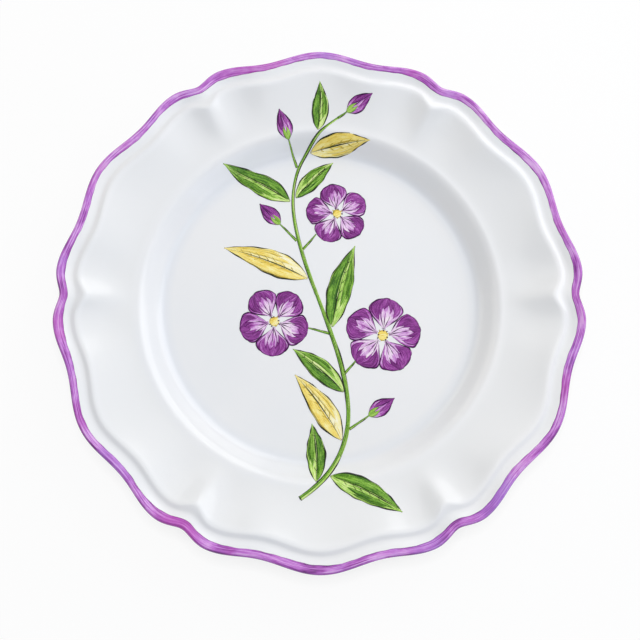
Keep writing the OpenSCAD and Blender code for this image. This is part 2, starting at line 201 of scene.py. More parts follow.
def upper_z(r, degrees):
    """Height of the upper face"""
    s = from_notch(degrees)
    inset = outline_r(s) - r
    crest = crest_inset(s)
    crest_r = outline_r(s) - crest
    drop = np.select(
        [r <= HEAD_R, r <= crest_r, inset >= CHANNEL_IN],
        [WELL_DEPTH - slope_rise(r - FLOOR_R, WELL_DEPTH - RIM_DEPTH),
         CREST_DROP + (RIM_DEPTH - CREST_DROP) * rim_curve(
             np.clip((crest_r - r) / (crest_r - HEAD_R), 0, 1)),
         CHANNEL_DROP + (CREST_DROP - CHANNEL_DROP) * ease((inset - CHANNEL_IN) / (crest - CHANNEL_IN))],
        CHANNEL_DROP * cove(np.clip((inset - LIP_ROUND) / (CHANNEL_IN - LIP_ROUND), 0, 1)))
    a = np.radians(degrees)
    return (PLATE_H + rib(s) * rib_fade(r, s) - drop
            + waver(r * np.cos(a), r * np.sin(a)) * ease((inset - LIP_ROUND) / WAVER_FADE))


def upper_z_at(points):
    x, y = points[..., 0], points[..., 1]
    return upper_z(np.hypot(x, y), np.degrees(np.arctan2(y, x)))


def under_z(r, degrees):
    """Height of the under face"""
    s = from_notch(degrees)
    start_r = outline_r(s) - LIP_ROUND
    w = np.clip((start_r - r) / (start_r - UNDER_HEAD_R), 0, 1)
    under_rise = WELL_DEPTH + FLOOR_T - RIM_DEPTH - WALL_T
    drop = np.where(
        r >= UNDER_HEAD_R, LIP_T + (RIM_DEPTH + WALL_T - LIP_T) * (1 - (1 - w) ** UNDER_POWER),
        WELL_DEPTH + FLOOR_T - slope_rise(r - UNDER_FOOT_R, under_rise))
    return PLATE_H + UNDER_RIB_SHARE * rib(s) * rib_fade(r, s) - drop


def link_mesh(name, points, faces):
    """A smooth-shaded mesh object from points in millimetres"""
    mesh = bpy.data.meshes.new(name)
    mesh.from_pydata((np.asarray(points) * MM).tolist(), [], [tuple(int(i) for i in f) for f in faces])
    mesh.validate()
    mesh.polygons.foreach_set("use_smooth", [True] * len(mesh.polygons))
    piece = bpy.data.objects.new(name, mesh)
    bpy.context.scene.collection.objects.link(piece)
    return piece


def set_attribute(piece, name, values):
    """A number or a vector at each point, for the materials to read"""
    values = np.asarray(values, dtype=np.float32)
    kind = "FLOAT" if values.ndim == 1 else "FLOAT_VECTOR"
    layer = piece.data.attributes.new(name, kind, "POINT")
    layer.data.foreach_set("value" if values.ndim == 1 else "vector", values.ravel())


def grid_faces(rows, columns):
    """Quads of a grid of points whose last column joins its first"""
    faces = []
    for i in range(rows - 1):
        for j in range(columns):
            k = (j + 1) % columns
            faces.append(((i + 1) * columns + j, (i + 1) * columns + k, i * columns + k, i * columns + j))
    return faces


# Materials
class Nodes:
    """A node tree, emptied, with short calls for the nodes used here"""

    def __init__(self, owner):
        owner.use_nodes = True
        self.tree = owner.node_tree
        self.tree.nodes.clear()

    def node(self, kind, inputs=(), **settings):
        """A node of the named kind, with a value or a socket for each input that is given"""
        made = self.tree.nodes.new("ShaderNode" + kind)
        for key, value in settings.items():
            setattr(made, key, value)
        for key, value in dict(inputs).items():
            self.put(made.inputs[key], value)
        return made

    def put(self, socket, value):
        """Link the input to a socket, or set its value"""
        if isinstance(value, bpy.types.NodeSocket):
            self.tree.links.new(value, socket)
        else:
            socket.default_value = value

    def math(self, operation, *values, clamp=False):
        return self.node("Math", enumerate(values), operation=operation, use_clamp=clamp).outputs[0]

    def attribute(self, name, output="Fac"):
        return self.node("Attribute", attribute_name=name).outputs[output]

    def object_place(self):
        return self.node("TexCoord").outputs["Object"]

    def mix(self, factor, a, b):
        made = self.node("Mix", data_type="RGBA")
        self.put(made.inputs[0], factor)
        self.put(made.inputs[6], a)
        self.put(made.inputs[7], b)
        return made.outputs[2]

    def noise(self, vector, scale, detail=2.0, roughness=0.5):
        return self.node("TexNoise", {
            "Vector": vector, "Scale": scale, "Detail": detail, "Roughness": roughness}).outputs[0]

    def span(self, value, low, high, to_low=0.0, to_high=1.0, smooth=False):
        """The value carried from one range to another, and held at its ends"""
        made = self.node("MapRange", {
            "Value": value, "From Min": low, "From Max": high, "To Min": to_low, "To Max": to_high},
            interpolation_type="SMOOTHSTEP" if smooth else "LINEAR")
        return made.outputs[0]

    def ramp(self, factor, stops):
        made = self.node("ValToRGB", {"Fac": factor})
        elements = made.color_ramp.elements
        while len(elements) < len(stops):
            elements.new(0.5)
        for element, (place, colour) in zip(elements, stops):
            element.position = place
            element.color = colour
        return made.outputs[0]

    def vector(self, x, y, z):
        return self.node("CombineXYZ", {"X": x, "Y": y, "Z": z}).outputs[0]

    def bump(self, height, strength, distance):
        return self.node("Bump", {
            "Height": height, "Strength": strength, "Distance": distance}).outputs[0]

    def direct_rays(self):
        """1 for the rays that show the background: to the camera, in a gloss or through glass"""
        rays = self.node("LightPath").outputs
        either = self.math("MAXIMUM", rays["Is Camera Ray"], rays["Is Glossy Ray"])
        return self.math("MAXIMUM", either, rays["Is Transmission Ray"])


class Graph(Nodes):
    """A node material with one Principled shader"""

    def __init__(self, name):
        self.material = bpy.data.materials.new(name)
        super().__init__(self.material)
        self.shader = self.node("BsdfPrincipled")
        self.node("OutputMaterial", {0: self.shader.outputs[0]})
        self.shader.inputs["IOR"].default_value = GLAZE_IOR


def glaze_material():
    """White glaze, a little greyer where it thins over the rim (outer), bluer where it pools at the
    verge's foot (pool), and left off the foot's standing face (bare)"""
    g = Graph("tin_glaze")
    place = g.object_place()
    pool, outer, bare = (g.attribute(name) for name in ("pool", "outer", "bare"))
    cloud = g.noise(place, 14, 3, 0.55)
    white = g.mix(g.span(cloud, 0.25, 0.75), srgb(230, 232, 235), srgb(235, 235, 236))
    white = g.mix(outer, white, srgb(229, 230, 231))
    white = g.mix(g.math("MULTIPLY", pool, 0.6), white, srgb(222, 226, 233))
    grit = g.noise(place, 900, 3, 0.7)
    clay = g.mix(g.span(grit, 0.3, 0.7), srgb(196, 160, 128), srgb(220, 190, 158))
    g.put(g.shader.inputs["Base Color"], g.mix(bare, white, clay))
    gloss = g.span(g.noise(place, 16, 1), 0.1, 0.9, *GLAZE_ROUGH)
    g.put(g.shader.inputs["Roughness"], g.math("ADD", gloss, g.math("MULTIPLY", bare, CLAY_ROUGH)))
    ripple = g.math("ADD", g.noise(place, 55, 2), g.math("MULTIPLY", g.noise(place, 320, 2), 0.12))
    g.put(g.shader.inputs["Normal"], g.bump(ripple, strength=0.25, distance=0.0004))
    return g.material


def paint_material(name, stops, streak):
    """Brushed colour: streaks along the stroke, darker pools at its edges, and a tone of its own"""
    g = Graph(name)
    along, across, seed = g.node("SeparateXYZ", {0: g.attribute("stroke", "Vector")}).outputs
    turn = g.math("MULTIPLY", seed, 37.0)

    def streaks(along_scale, across_scale, *settings):
        return g.noise(g.vector(g.math("MULTIPLY", along, along_scale),
                                g.math("MULTIPLY", across, across_scale), turn), *settings)

    hairs = streaks(0.07, 2.6, 1.9, 4, 0.68)
    wash = streaks(0.16, 1, 0.9, 2)
    bristle = streaks(0.1, 7, 1.4, 2)
    grain = g.noise(g.object_place(), 1100, 2)
    edge = g.span(g.math("ABSOLUTE", across), 0.7, 1.0, 0, 0.2, smooth=True)
    depth = g.math("ADD", g.attribute("tone"), g.span(hairs, 0.33, 0.67, -streak / 2, streak / 2))
    depth = g.math("ADD", depth, g.span(wash, 0.3, 0.7, -WASH_SPREAD / 2, WASH_SPREAD / 2))
    depth = g.math("ADD", depth, g.span(bristle, 0.56, 0.7, 0, streak * 0.7))
    depth = g.math("SUBTRACT", depth, g.span(bristle, 0.42, 0.3, 0, streak * 0.6))
    depth = g.math("ADD", depth, g.span(grain, 0.3, 0.7, -0.07, 0.07))
    depth = g.math("ADD", depth, edge, clamp=True)
    g.put(g.shader.inputs["Base Color"], g.ramp(depth, stops))
    g.put(g.shader.inputs["Roughness"], g.span(wash, 0.3, 0.7, *PAINT_ROUGH))
    g.shader.inputs["Specular IOR Level"].default_value = PAINT_SPECULAR
    return g.material


def band_material():
    """Brushed purple that runs round the plate; ring holds the bearing and the place across"""
    g = Graph("band_brushwork")
    x, y, across = g.node("SeparateXYZ", {0: g.attribute("ring", "Vector")}).outputs

    def streaks(round_scale, across_scale, *settings):
        return g.noise(g.vector(g.math("MULTIPLY", x, round_scale), g.math("MULTIPLY", y, round_scale),
                                g.math("MULTIPLY", across, across_scale)), *settings)

    hairs = streaks(7, 1.9, 1.0, 4, 0.62)
    pools = streaks(16, 0.35, 1.0, 3, 0.55)
    hue = g.noise(g.vector(x, y, 4.0), 4.2, 3)
    depth = g.math("ADD", g.attribute("tone"), g.span(hairs, 0.36, 0.64, -0.3, 0.3))
    depth = g.math("ADD", depth, g.span(pools, 0.35, 0.65, -0.2, 0.2))
    # Pale lines where the bristles parted, wandering across the band
    for turn, middle, reach, width, lift in ((2.0, 0.2, 2.4, 0.34, 0.42), (11.0, 1.3, 1.8, 0.24, 0.3)):
        drift = g.noise(g.vector(x, y, turn), 2.6, 2)
        line = g.math("ADD", middle - reach / 2, g.math("MULTIPLY", drift, reach))
        apart = g.math("ABSOLUTE", g.math("SUBTRACT", across, line))
        broken = g.span(g.noise(g.vector(x, y, turn + 5), 9, 2), 0.4, 0.56)
        pale = g.math("MULTIPLY", g.span(apart, width * 0.3, width, lift, 0), broken)
        depth = g.math("SUBTRACT", depth, pale)
    depth = g.math("ADD", depth, 0, clamp=True)
    purple = g.ramp(depth, [
        (0.0, srgb(218, 172, 228)), (0.28, srgb(200, 134, 214)), (0.52, srgb(177, 92, 194)),
        (0.78, srgb(142, 50, 156)), (1.0, srgb(96, 24, 110))])
    purple = g.mix(g.span(hue, 0.54, 0.7, 0, 0.6), purple, srgb(158, 112, 208))
    purple = g.mix(g.span(hue, 0.46, 0.32, 0, 0.55), purple, srgb(186, 66, 178))
    g.put(g.shader.inputs["Base Color"], purple)
    g.put(g.shader.inputs["Roughness"], g.span(pools, 0.3, 0.7, *BAND_ROUGH))
    return g.material


def plate_piece():
    """One skin from the middle of the well out over the lip and back under to the middle"""
    degrees = np.arange(0, 360, 0.5)
    s = from_notch(degrees)
    outline = outline_r(s)
    crest = crest_inset(s)
    crest_r = outline - crest
    start_r = outline - LIP_ROUND
    rings, looks = [], []

    def upper(r, wet=0.0, rim=0.0):
        r = np.broadcast_to(r, degrees.shape)
        rings.append((r, upper_z(r, degrees)))
        looks.append((wet, rim, 0))

    def under(r, z=None, dry=0.0):
        r = np.broadcast_to(r, degrees.shape)
        rings.append((r, under_z(r, degrees) if z is None else np.broadcast_to(z, degrees.shape)))
        looks.append((0, 0, dry))

    for r in np.arange(3.5, FLOOR_R - 2, 3.5):
        upper(r)
    for r in np.linspace(FLOOR_R, FLOOR_R + VERGE_CORNER, 9):
        upper(r, float(ease(1 - abs(r - FLOOR_R - 1.5) / 4)))
    for r in np.linspace(FLOOR_R + VERGE_CORNER + 1, HEAD_R - VERGE_CORNER - 1, 6):
        upper(r)
    for r in np.linspace(HEAD_R - VERGE_CORNER, HEAD_R, 9):
        upper(r)
    for w in np.linspace(0, 1, 27)[1:] ** 0.8:
        upper(HEAD_R + w * (crest_r - HEAD_R), rim=0.7 * float(ease(8 * w) * ease(6 * (1 - w))))
    for u in np.linspace(0, 1, 10)[1:]:
        upper(crest_r + u * (crest - CHANNEL_IN))
    for u in np.linspace(0, 1, 10)[1:]:
        upper(outline - CHANNEL_IN + u * (CHANNEL_IN - LIP_ROUND))
    for a in LIP_ANGLES:
        under(outline - LIP_ROUND * (1 - np.cos(a)), PLATE_H - LIP_T / 2 * (1 - np.sin(a)))
    for w in np.linspace(0, 1, 19)[1:]:
        under(start_r - w * (start_r - UNDER_HEAD_R))
    for r in np.linspace(UNDER_HEAD_R, UNDER_FOOT_R, 20)[1:]:
        under(r)
    # Foot ring: its corners are rounded, and its standing face is left unglazed
    c = FOOT_CHAMFER
    inner = FOOT_R - FOOT_W
    for r, z, dry in (
            (FOOT_R + 0.7, FOOT_H - 0.05, 0), (FOOT_R + 0.15, FOOT_H - 0.4, 0), (FOOT_R, FOOT_H - 0.9, 0),
            (FOOT_R, c, 0), (FOOT_R - 0.3 * c, 0.3 * c, 0), (FOOT_R - 0.75 * c, 0.06 * c, 1),
            (FOOT_R - 1.2 * c, 0, 1), (inner + 1.2 * c, 0, 1), (inner + 0.75 * c, 0.06 * c, 1),
            (inner + 0.3 * c, 0.3 * c, 0), (inner, c, 0), (inner, FOOT_H - 0.9, 0),
            (inner - 0.15, FOOT_H - 0.4, 0), (inner - 0.7, FOOT_H - 0.05, 0)):
        under(r, z, dry)
    for r in np.linspace(inner - 1.5, 4, 16):
        under(r, FOOT_H + RECESS_DOME * (1 - (r / inner) ** 2))

    columns = len(degrees)
    a = np.radians(degrees)
    points = [(0, 0, float(upper_z(np.array(0.0), np.array(0.0))))]
    for r, z in rings:
        points.extend(zip(r * np.cos(a), r * np.sin(a), z))
    points.append((0, 0, FOOT_H + RECESS_DOME))
    faces = [tuple(i + 1 for i in f) for f in grid_faces(len(rings), columns)]
    last = len(points) - 1
    start = last - columns
    faces += [(0, 1 + j, 1 + (j + 1) % columns) for j in range(columns)]
    faces += [(last, start + (j + 1) % columns, start + j) for j in range(columns)]
    piece = link_mesh("plate_body_glazed", points, faces)
    for name, values in zip(("pool", "outer", "bare"), zip(*looks)):
        set_attribute(piece, name, [0] + [v for v in values for _ in range(columns)] + [0])
    return piece


def wobble(x, waves, seed):
    """A smooth periodic wander between about -1 and 1; x is in degrees"""
    draw = np.random.RandomState(seed)
    total = 0 * x
    for wave in waves:
        total = total + draw.uniform(0.5, 1) * np.sin(np.radians(x * wave) + draw.uniform(0, 6.28))
    return total / len(waves) ** 0.5


def band_piece():
    """The brushed band, laid over the lip, with a hand-drawn inner edge"""
    degrees = np.arange(0, 360, 0.25)
    s = from_notch(degrees)
    outline = outline_r(s)
    # The brush rounds off the corner of each notch on the band's inner side, and is pressed a little
    # wider there
    near = np.arange(-12, 13)
    weights = np.exp(-(near / 5.0) ** 2)
    soft = sum(w * np.roll(outline, k) for k, w in zip(near, weights)) / weights.sum()
    width = (BAND_W + 0.55 * ease(1.4 - s / 10) + 0.44 * wobble(degrees, (5, 9, 14, 23), 3)
             + 0.14 * wobble(degrees, (47, 71, 113), 5))
    under_w = BAND_UNDER_W + 0.3 * wobble(degrees, (7, 13, 29), 9)
    # Each row of the outer face: radius, height, place across the lip, and share from the inner edge
    rows = []
    for u in np.linspace(0, 1, 9):
        r = u * outline + (1 - u) * soft - LIP_ROUND - (1 - u) * (width - LIP_ROUND)
        rows.append((r, upper_z(r, degrees) + BAND_LIFT + BAND_BODY * min(1, 4 * u),
                     (1 - u) * (width - LIP_ROUND), u))
    first_round = len(rows)
    for a in LIP_ANGLES:
        rows.append((outline - LIP_ROUND + (LIP_ROUND + BAND_LIFT + BAND_BODY) * np.cos(a),
                     PLATE_H - LIP_T / 2 + (LIP_T / 2 + BAND_LIFT + BAND_BODY) * np.sin(a) + 0 * s,
                     -LIP_TURN_W * (np.pi / 2 - a) + 0 * s, 1))
    last_round = len(rows)
    for u in np.linspace(0, 1, 5)[1:]:
        r = outline - LIP_ROUND - u * (under_w - LIP_ROUND)
        rows.append((r, under_z(r, degrees) - BAND_LIFT - BAND_BODY * min(1, 4 * (1 - u)),
                     -UNDER_START - u * (under_w - LIP_ROUND), 1))
    columns = len(degrees)
    a = np.radians(degrees)
    points, ring, tone = [], [], []
    # Colour gathers at the notches and at the inner edge. Where the lip turns down the band is darker: partly
    # pooled colour, partly painted shade on the edge that rounds away from the light
    at_notch = ease(1 - s / 3.2)
    wet = wobble(degrees, (4, 11, 19, 37), 21)
    for r, z, across, u in rows:
        points.extend(zip(r * np.cos(a), r * np.sin(a), z))
        ring.extend(zip(np.cos(a), np.sin(a), across + 0 * a))
        # turn: painted shade, with some pooled colour, growing as the lip rounds over and under
        turn = np.clip((-across - 0.5) / 1.8, 0, 1)
        inner_edge = ease(1 - 5 * u) if u < 1 else 0
        # Painted shade: the cosine term darkens the band on the side away from the key lamp, at the lower
        # left, and lightens it towards the upper right
        tone.extend(0.46 + 0.4 * turn + 0.28 * inner_edge + 0.12 * at_notch * (1 + wet) + 0.1 * wet
                    + 0.07 * np.cos(a - 4.4))
    # The band's inner face, back from under the lip, sunk a little into the glaze
    back = len(rows)
    for k in range(back - 2, 0, -1):
        r, z, across, u = rows[k]
        r = r - (BAND_SINK_ROUND if first_round <= k < last_round else 0)
        below = BAND_SINK if k < (first_round + last_round) / 2 else -BAND_SINK
        points.extend(zip(r * np.cos(a), r * np.sin(a), z - below))
        ring.extend(zip(np.cos(a), np.sin(a), across + 0 * a))
        tone.extend(0.5 + 0 * a)
    total = back + back - 2
    faces = grid_faces(total, columns)
    for j in range(columns):
        k = (j + 1) % columns
        faces.append(((total - 1) * columns + k, (total - 1) * columns + j, j, k))
    piece = link_mesh("rim_band_brushed", points, faces)
    set_attribute(piece, "ring", ring)
    set_attribute(piece, "tone", tone)
    return piece


class Brushwork:
    """A piece of the painting, which gathers many thin strokes that lie on the glaze"""

    # Heights over the glaze: of the first layer, of each further one, of a stroke's middle over its
    # edge, and of the edge over the lower face
    BASE, STEP, THICK, SINK = 0.03, 0.03, 0.025, 0.012

    def __init__(self, name):
        self.name = name
        self.points, self.faces, self.strokes, self.tones = [], [], [], []

    def lay(self, path, half_widths, layer, tone, cell=0.9, sides=None):
        """One stroke along a path, with a half width at each of its points.
        The tone is one number, or a function of the share along and the place across."""
        path = np.asarray(path, float)
        lengths = np.concatenate([[0], np.cumsum(np.linalg.norm(np.diff(path, axis=0), axis=1))])
        rows = max(4, int(math.ceil(lengths[-1] / cell)) + 1)
        at = np.linspace(0, lengths[-1], rows)
        x, y = np.interp(at, lengths, path[:, 0]), np.interp(at, lengths, path[:, 1])
        half = np.interp(at, lengths, half_widths)
        centre = np.column_stack([x, y])
        along = np.gradient(centre, axis=0)
        along /= np.linalg.norm(along, axis=1)[:, None]
        across = np.column_stack([-along[:, 1], along[:, 0]])
        if sides is None:
            sides = max(2, int(math.ceil(2 * max(half) / cell)))
        v = np.linspace(-1, 1, sides + 1)
        plan = centre[:, None, :] + v[None, :, None] * half[:, None, None] * across[:, None, :]
        u = at / lengths[-1]
        inner = np.minimum(1, 3 * (1 - np.abs(v)))[None, :] * np.minimum(1, 8 * np.minimum(u, 1 - u))[:, None]
        ground = upper_z_at(plan) + self.BASE + self.STEP * layer
        top = ground + self.THICK * inner
        n, m = rows, sides + 1
        start = len(self.points)
        self.points.extend(np.dstack([plan, top[:, :, None]]).reshape(-1, 3))
        # A closed thin body: the lower face shares the outline's points and lies a little lower inside it
        edge = np.ones((n, m), bool)
        edge[1:-1, 1:-1] = False
        lower = np.arange(n * m).reshape(n, m) + start
        fresh = np.flatnonzero(~edge.ravel())
        lower.ravel()[fresh] = start + n * m + np.arange(len(fresh))
        bottom = np.dstack([plan, (ground - self.SINK)[:, :, None]]).reshape(-1, 3)[fresh]
        self.points.extend(bottom)
        upper = np.arange(n * m).reshape(n, m) + start
        for i in range(n - 1):
            for j in range(m - 1):
                self.faces.append((upper[i, j], upper[i + 1, j], upper[i + 1, j + 1], upper[i, j + 1]))
                low = (lower[i, j], lower[i, j + 1], lower[i + 1, j + 1], lower[i + 1, j])
                if len(set(low) | set(self.faces[-1])) > 4:
                    self.faces.append(low)
        seed = chance.uniform()
        U, V = np.meshgrid(u, v, indexing="ij")
        values = np.broadcast_to(tone(U, V) if callable(tone) else tone, U.shape)
        facts = np.dstack([U * lengths[-1], V, np.full_like(U, seed)]).reshape(-1, 3)
        self.strokes.extend(np.concatenate([facts, facts[fresh]]))
        self.tones.extend(np.concatenate([values.ravel(), values.ravel()[fresh]]))

    def piece(self, material, slot, *nodes):
        """The mesh of all the strokes laid so far"""
        made = link_mesh(self.name, self.points, self.faces)
        set_attribute(made, "stroke", self.strokes)
        set_attribute(made, "tone", self.tones)
        finish_piece(made, material, slot, *nodes)


def finish_piece(piece, material, slot, *nodes):
    """Give a piece its material and body, and hide the imported nodes that it stands for; slot is not used"""
    piece.data.materials.append(material)
    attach(piece, BODY)
    if nodes:
        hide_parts(*nodes)


def direction(degrees):
    """Unit vector at a bearing"""
    a = np.radians(degrees)
    return np.array([np.cos(a), np.sin(a)])


def stem_at(t):
    """Point on the stem, from 0 at its cut end to 1 at its tip"""
    u = 1 - t
    p = STEM_POINTS
    return u ** 3 * p[0] + 3 * u * u * t * p[1] + 3 * u * t * t * p[2] + t ** 3 * p[3]


def stem_angle(t):
    """Bearing of the stem at the same share"""
    u = 1 - t
    p = STEM_POINTS
    d = u * u * (p[1] - p[0]) + 2 * u * t * (p[2] - p[1]) + t * t * (p[3] - p[2])
    return math.degrees(math.atan2(d[1], d[0]))


def off_stem(t, side):
    """Where a stroke beside the stem starts"""
    return stem_at(t) + (STEM_W / 2 + STROKE_GAP) * direction(stem_angle(t) + side * 90)


def curl_path(start, angle, curl, length, steps=40):
    """Points of a stroke that turns evenly, by curl degrees in all"""
    turns = np.array([direction(angle + curl * (i + 0.5) / steps) for i in range(steps)])
    return np.vstack([[start], start + np.cumsum(turns, axis=0) * length / steps])


def leaf_profile(u):
    """Share of a leaf's or bud's full width at a share of its length"""
    return np.maximum(0.05, np.sin(np.pi * u ** 0.8))


def petal_profile(u):
    """The same for a petal, which is widest further out"""
    return np.maximum(0.1, np.maximum(0, np.sin(np.pi * u ** 1.45)) ** 0.75)


def beside(path, half, place):
    """The line that runs along a stroke at a place between -1 and 1 across it"""
    along = np.gradient(path, axis=0)
    along /= np.linalg.norm(along, axis=1)[:, None]
    return path + (place * half)[:, None] * np.column_stack([-along[:, 1], along[:, 0]])


def ink(work, path, width, layer, start, end, tone):
    """A fine pen line along part of a path, thick and thin by turns, fading at both ends"""
    n = len(path)
    first, last = int(start * (n - 1)), int(end * (n - 1)) + 1
    part = path[first:last]
    if len(part) < 4:
        return
    u = np.linspace(0, 1, len(part))
    swell = 0.75 + 0.35 * np.sin(u * chance.uniform(5, 11) + chance.uniform(0, 6.28))
    half = 0.62 * width * swell * np.maximum(0.25, np.minimum(1, 5 * np.minimum(u, 1 - u)))
    work.lay(part, half, layer, tone, cell=0.8, sides=2)


def uneven(half, amount=0.05):
    """Half widths with the slight wander of a brush"""
    n = len(half)
    u = np.linspace(0, 1, n)
    wander = np.sin(u * chance.uniform(6, 12) + chance.uniform(0, 6)) + 0.5 * np.sin(
        u * chance.uniform(20, 32) + chance.uniform(0, 6))
    return half * (1 + amount * wander)


leaf_wash = Brushwork("leaf_wash")
leaf_shade = Brushwork("leaf_shade")
petal_wash = Brushwork("petal_wash")
petal_shade = Brushwork("petal_shade")
yellow_wash = Brushwork("yellow_wash")
yellow_shade = Brushwork("yellow_shade")
green_ink = Brushwork("green_pen_lines")
purple_ink = Brushwork("purple_pen_lines")


def leaf(spec, wash, shade, pale):
    """A leaf: its wash, darker pulls of the brush, then pen lines; pale leaves are the yellow ones"""
    t, side, share, spread = spec
    angle = stem_angle(t) + side * spread
    length = share * LEAF_LEN
    path = curl_path(off_stem(t, side), angle, side * LEAF_CURL, length)
    u = np.linspace(0, 1, len(path))
    width = LEAF_W * (LEAF_SLIM + (1 - LEAF_SLIM) * share) / 2
    half = uneven(width * leaf_profile(u))
    base = 0.16 if pale else 0.15
    wash.lay(path, half, 0, lambda U, V: base + 0.22 * U + 0.1 * (V * side > 0))
    # A darker pull of the brush down one half, and thinner ones beside it
    dark = side if chance.uniform() < 0.7 else -side
    for place, weight, begin, stop, tone in (
            (0.5, 0.42, 0.04, 0.97, 0.66), (0.22, 0.14, 0.1, 0.85, 0.86), (-0.45, 0.2, 0.25, 0.9, 0.6),
            (-0.72, 0.12, 0.35, 0.8, 0.74), (0.74, 0.12, 0.1, 0.7, 0.84)):
        line = beside(path, half, place * dark)
        n = len(line)
        first, last = int(begin * (n - 1)), int(stop * (n - 1)) + 1
        v = np.linspace(0, 1, last - first)
        pull = width * weight * np.sin(np.pi * v ** 0.75) ** 0.8
        shade.lay(line[first:last], np.maximum(0.08, pull), 1, tone + (-0.1 if pale else 0.1))
    # Midrib, side veins and a broken outline
    ink(green_ink, path, 0.45, 2, 0.0, 0.93, 0.6)
    for k in range(3 + int(length / 12)):
        at = 0.18 + 0.6 * k / (2 + int(length / 12))
        for hand in (1, -1):
            i = int(at * (len(path) - 1))
            reach = half[i] * chance.uniform(0.55, 0.8)
            ahead = path[min(i + 1, len(path) - 1)] - path[i - 1]
            heading = math.degrees(math.atan2(ahead[1], ahead[0]))
            if chance.uniform() < 0.8:
                vein = curl_path(path[i], heading + hand * 38, -hand * 12, reach, 12)
                pen, weight, tone = (shade, 0.42, 0.9) if pale else (green_ink, 0.28, 0.45)
                ink(pen, vein, weight, 2, 0, 1, tone)
    for hand in (1, -1):
        edge = beside(path, half, hand * 0.99)
        gap = chance.uniform(0.4, 0.7)
        ink(green_ink, edge, 0.5 if hand == -dark else 0.62, 3, 0.02, gap, 0.75)
        ink(green_ink, edge, 0.5, 3, gap + 0.05, 0.99, 0.8)


# Stem and stalks
steps = np.linspace(0, 1, 240)
stem_path = np.array([stem_at(t) for t in steps])
stem_half = uneven(STEM_W / 2 * (1 - 0.5 * steps), 0.06)
leaf_wash.lay(stem_path, stem_half, 0, lambda U, V: 0.42 + 0.2 * V, cell=0.8, sides=5)
leaf_shade.lay(beside(stem_path, stem_half, 0.45), 0.5 * stem_half, 1, 0.72, cell=0.8, sides=3)
lower_half = slice(30, 150)
leaf_shade.lay(beside(stem_path, stem_half, -0.5)[lower_half], 0.22 * stem_half[lower_half], 1, 0.6,
               cell=0.8, sides=2)
for hand, lines in (
        (1, ((0.01, 0.2), (0.23, 0.48), (0.52, 0.79), (0.83, 0.99))),
        (-1, ((0.0, 0.13), (0.3, 0.41), (0.6, 0.97)))):
    for begin, end in lines:
        ink(green_ink, beside(stem_path, stem_half, hand * 0.98), 0.5, 2, begin, end, 0.8)
# Cut end of the stem
cut_start = stem_at(0) + 1.4 * direction(stem_angle(0) + 90)
ink(green_ink, curl_path(cut_start, stem_angle(0) - 84, 0, 2.9, 8), 0.6, 3, 0, 1, 0.8)

for spec in GREEN_LEAVES:
    leaf(spec, leaf_wash, leaf_shade, False)
for spec in YELLOW_LEAVES:
    leaf(spec, yellow_wash, yellow_shade, True)


def stalk(path):
    """A thin stem to a flower or bud; its ends reach under the strokes that it joins"""
    u = np.linspace(0, 1, len(path))
    half = STALK_W / 2 * (1 - 0.5 * u)
    leaf_wash.lay(path, half, 0, 0.45, cell=0.8, sides=3)
    leaf_shade.lay(beside(path, half, 0.4), 0.45 * half, 1, 0.75, cell=0.8, sides=2)
    ink(green_ink, beside(path, half, -0.95), 0.4, 2, 0.05, 0.95, 0.7)


for t, side, reach, share, turn in FLOWERS:
    angle = stem_angle(t) + side * STALK_SPREAD
    centre = stem_at(t) + reach * FLOWER_R * direction(angle)
    begin = off_stem(t, side) - STALK_REACH * direction(angle)
    end = centre - (FLOWER_R * share - PETAL_REACH) * direction(angle)
    stalk(np.array([begin + (end - begin) * k / 24 for k in range(25)]))
    for k in range(PETALS):
        bearing = turn + k * 360 / PETALS
        inner = CENTRE_R * share + STROKE_GAP
        length = FLOWER_R * share - inner
        path = curl_path(centre + inner * direction(bearing), bearing, 0, length)
        u = np.linspace(0, 1, len(path))
        width = PETAL_SHARE * FLOWER_R * share * math.sin(math.pi / PETALS)
        half = uneven(width * petal_profile(u), 0.03)
        seed_tone = chance.uniform(-0.06, 0.08)
        petal_wash.lay(path, half, 0, lambda U, V: 0.14 + seed_tone + 0.52 * U ** 2.2 + 0.12 * np.abs(V) ** 3)
        # Deep colour drawn in from the edge, and fine lines out from the throat
        for place, weight, first, last, tone in (
                (0.6, 0.3, 10, 40, 0.82), (-0.64, 0.22, 14, 40, 0.76), (0.1, 0.26, 25, 41, 0.8),
                (0.3, 0.1, 16, 38, 0.7), (-0.3, 0.12, 20, 40, 0.88)):
            line = beside(path, half, place)[first:last]
            v = np.linspace(0, 1, len(line))
            petal_shade.lay(line, np.maximum(0.08, width * weight * np.sin(np.pi * v ** 1.3) ** 0.8), 1,
                            tone + chance.uniform(-0.06, 0.1))
        for place in (-0.34, 0.02, 0.36):
            reach_share = chance.uniform(0.42, 0.68)
            line = beside(path, half, place + chance.uniform(-0.05, 0.05))
            ink(purple_ink, line, 0.4, 2, 0, reach_share, 0.6)
        rim = np.vstack([beside(path, half, 0.99)[4:], beside(path, half, -0.99)[::-1][:-4]])
        gap = chance.uniform(0.3, 0.6)
        ink(purple_ink, rim, 0.55, 3, 0.0, gap, 0.8)
        ink(purple_ink, rim, 0.5, 3, gap + 0.05, 1.0, 0.75)
    # Centre: a yellow dab with darker flecks round it
    r = CENTRE_R * share
    line = np.array([centre + (k / 12 - 1) * r * 0.99 * direction(turn) for k in range(25)])
    u = np.linspace(0, 1, 25)
    yellow_wash.lay(line, np.maximum(0.1, r * np.sqrt(np.maximum(0, 1 - (2 * u - 1) ** 2))), 0,
                    lambda U, V: 0.55 + 0.15 * V, cell=0.7)
    for k in range(9):
        at = centre + r * chance.uniform(0.55, 0.95) * direction(turn + 40 * k + chance.uniform(-12, 12))
        fleck = curl_path(at, turn + 40 * k, 0, 0.9, 6)
        (purple_ink if k % 3 else yellow_shade).lay(fleck, np.full(7, 0.3), 2, 0.8, cell=0.4, sides=2)

